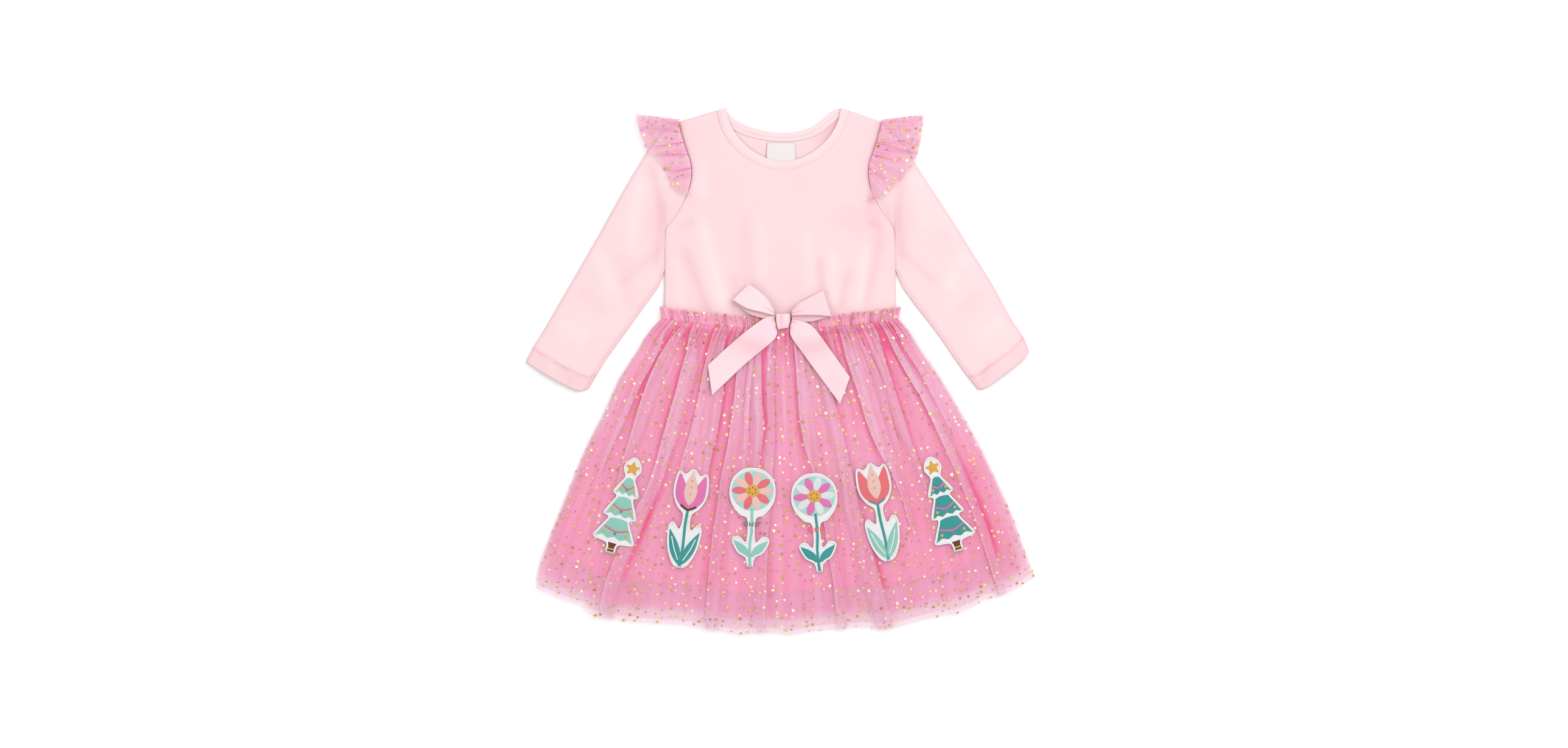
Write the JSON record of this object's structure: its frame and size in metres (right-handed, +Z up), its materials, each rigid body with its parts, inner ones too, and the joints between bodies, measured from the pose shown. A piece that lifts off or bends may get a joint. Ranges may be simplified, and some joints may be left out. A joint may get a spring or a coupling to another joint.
{
  "type": "toddler party dress",
  "caption": "Toddler's party dress laid flat: long-sleeved jersey bodice, gathered star-printed tulle skirt over a lining, shoulder ruffles, ribbon bow and sewn-on patches.",
  "frame": {"origin": "on the surface that the dress lies on, under the middle of the laid-out dress", "axes": "+X to the viewer's right across the dress, +Y along its length towards the neck, +Z up from the surface through the back panels to the front ones"},
  "size_m": [0.544, 0.564, 0.0151],
  "materials": {
    "jersey": "matte cotton jersey, pale pink",
    "tulle": "sheer pink net with small gold foil stars",
    "under_tulle": "sheer plain pink net",
    "lining": "smooth woven lining, bright pink",
    "ribbon": "satin ribbon, pale pink",
    "label": "bare woven label, white",
    "patch": "embroidered patch with a white border"
  },
  "bodies": {
    "root": {"skirt_tulle_back": "tulle", "under_tulle_back": "under_tulle", "lining_back": "lining", "lining_front": "lining", "under_tulle_front": "under_tulle", "skirt_tulle_front": "tulle", "bodice_back": "jersey", "bodice_front": "jersey", "neckband_back": "jersey", "neckband_front": "jersey", "neck_label": "label", "sleeve_left": "jersey", "sleeve_right": "jersey", "ruffle_left": "tulle", "ruffle_right": "tulle", "bow_loop_left": "ribbon", "bow_loop_right": "ribbon", "bow_tail_left": "ribbon", "bow_tail_right": "ribbon", "bow_knot": "ribbon", "patch_1": "patch", "patch_2": "patch", "patch_3": "patch", "patch_4": "patch", "patch_5": "patch", "patch_6": "patch"}
  },
  "joints": []
}
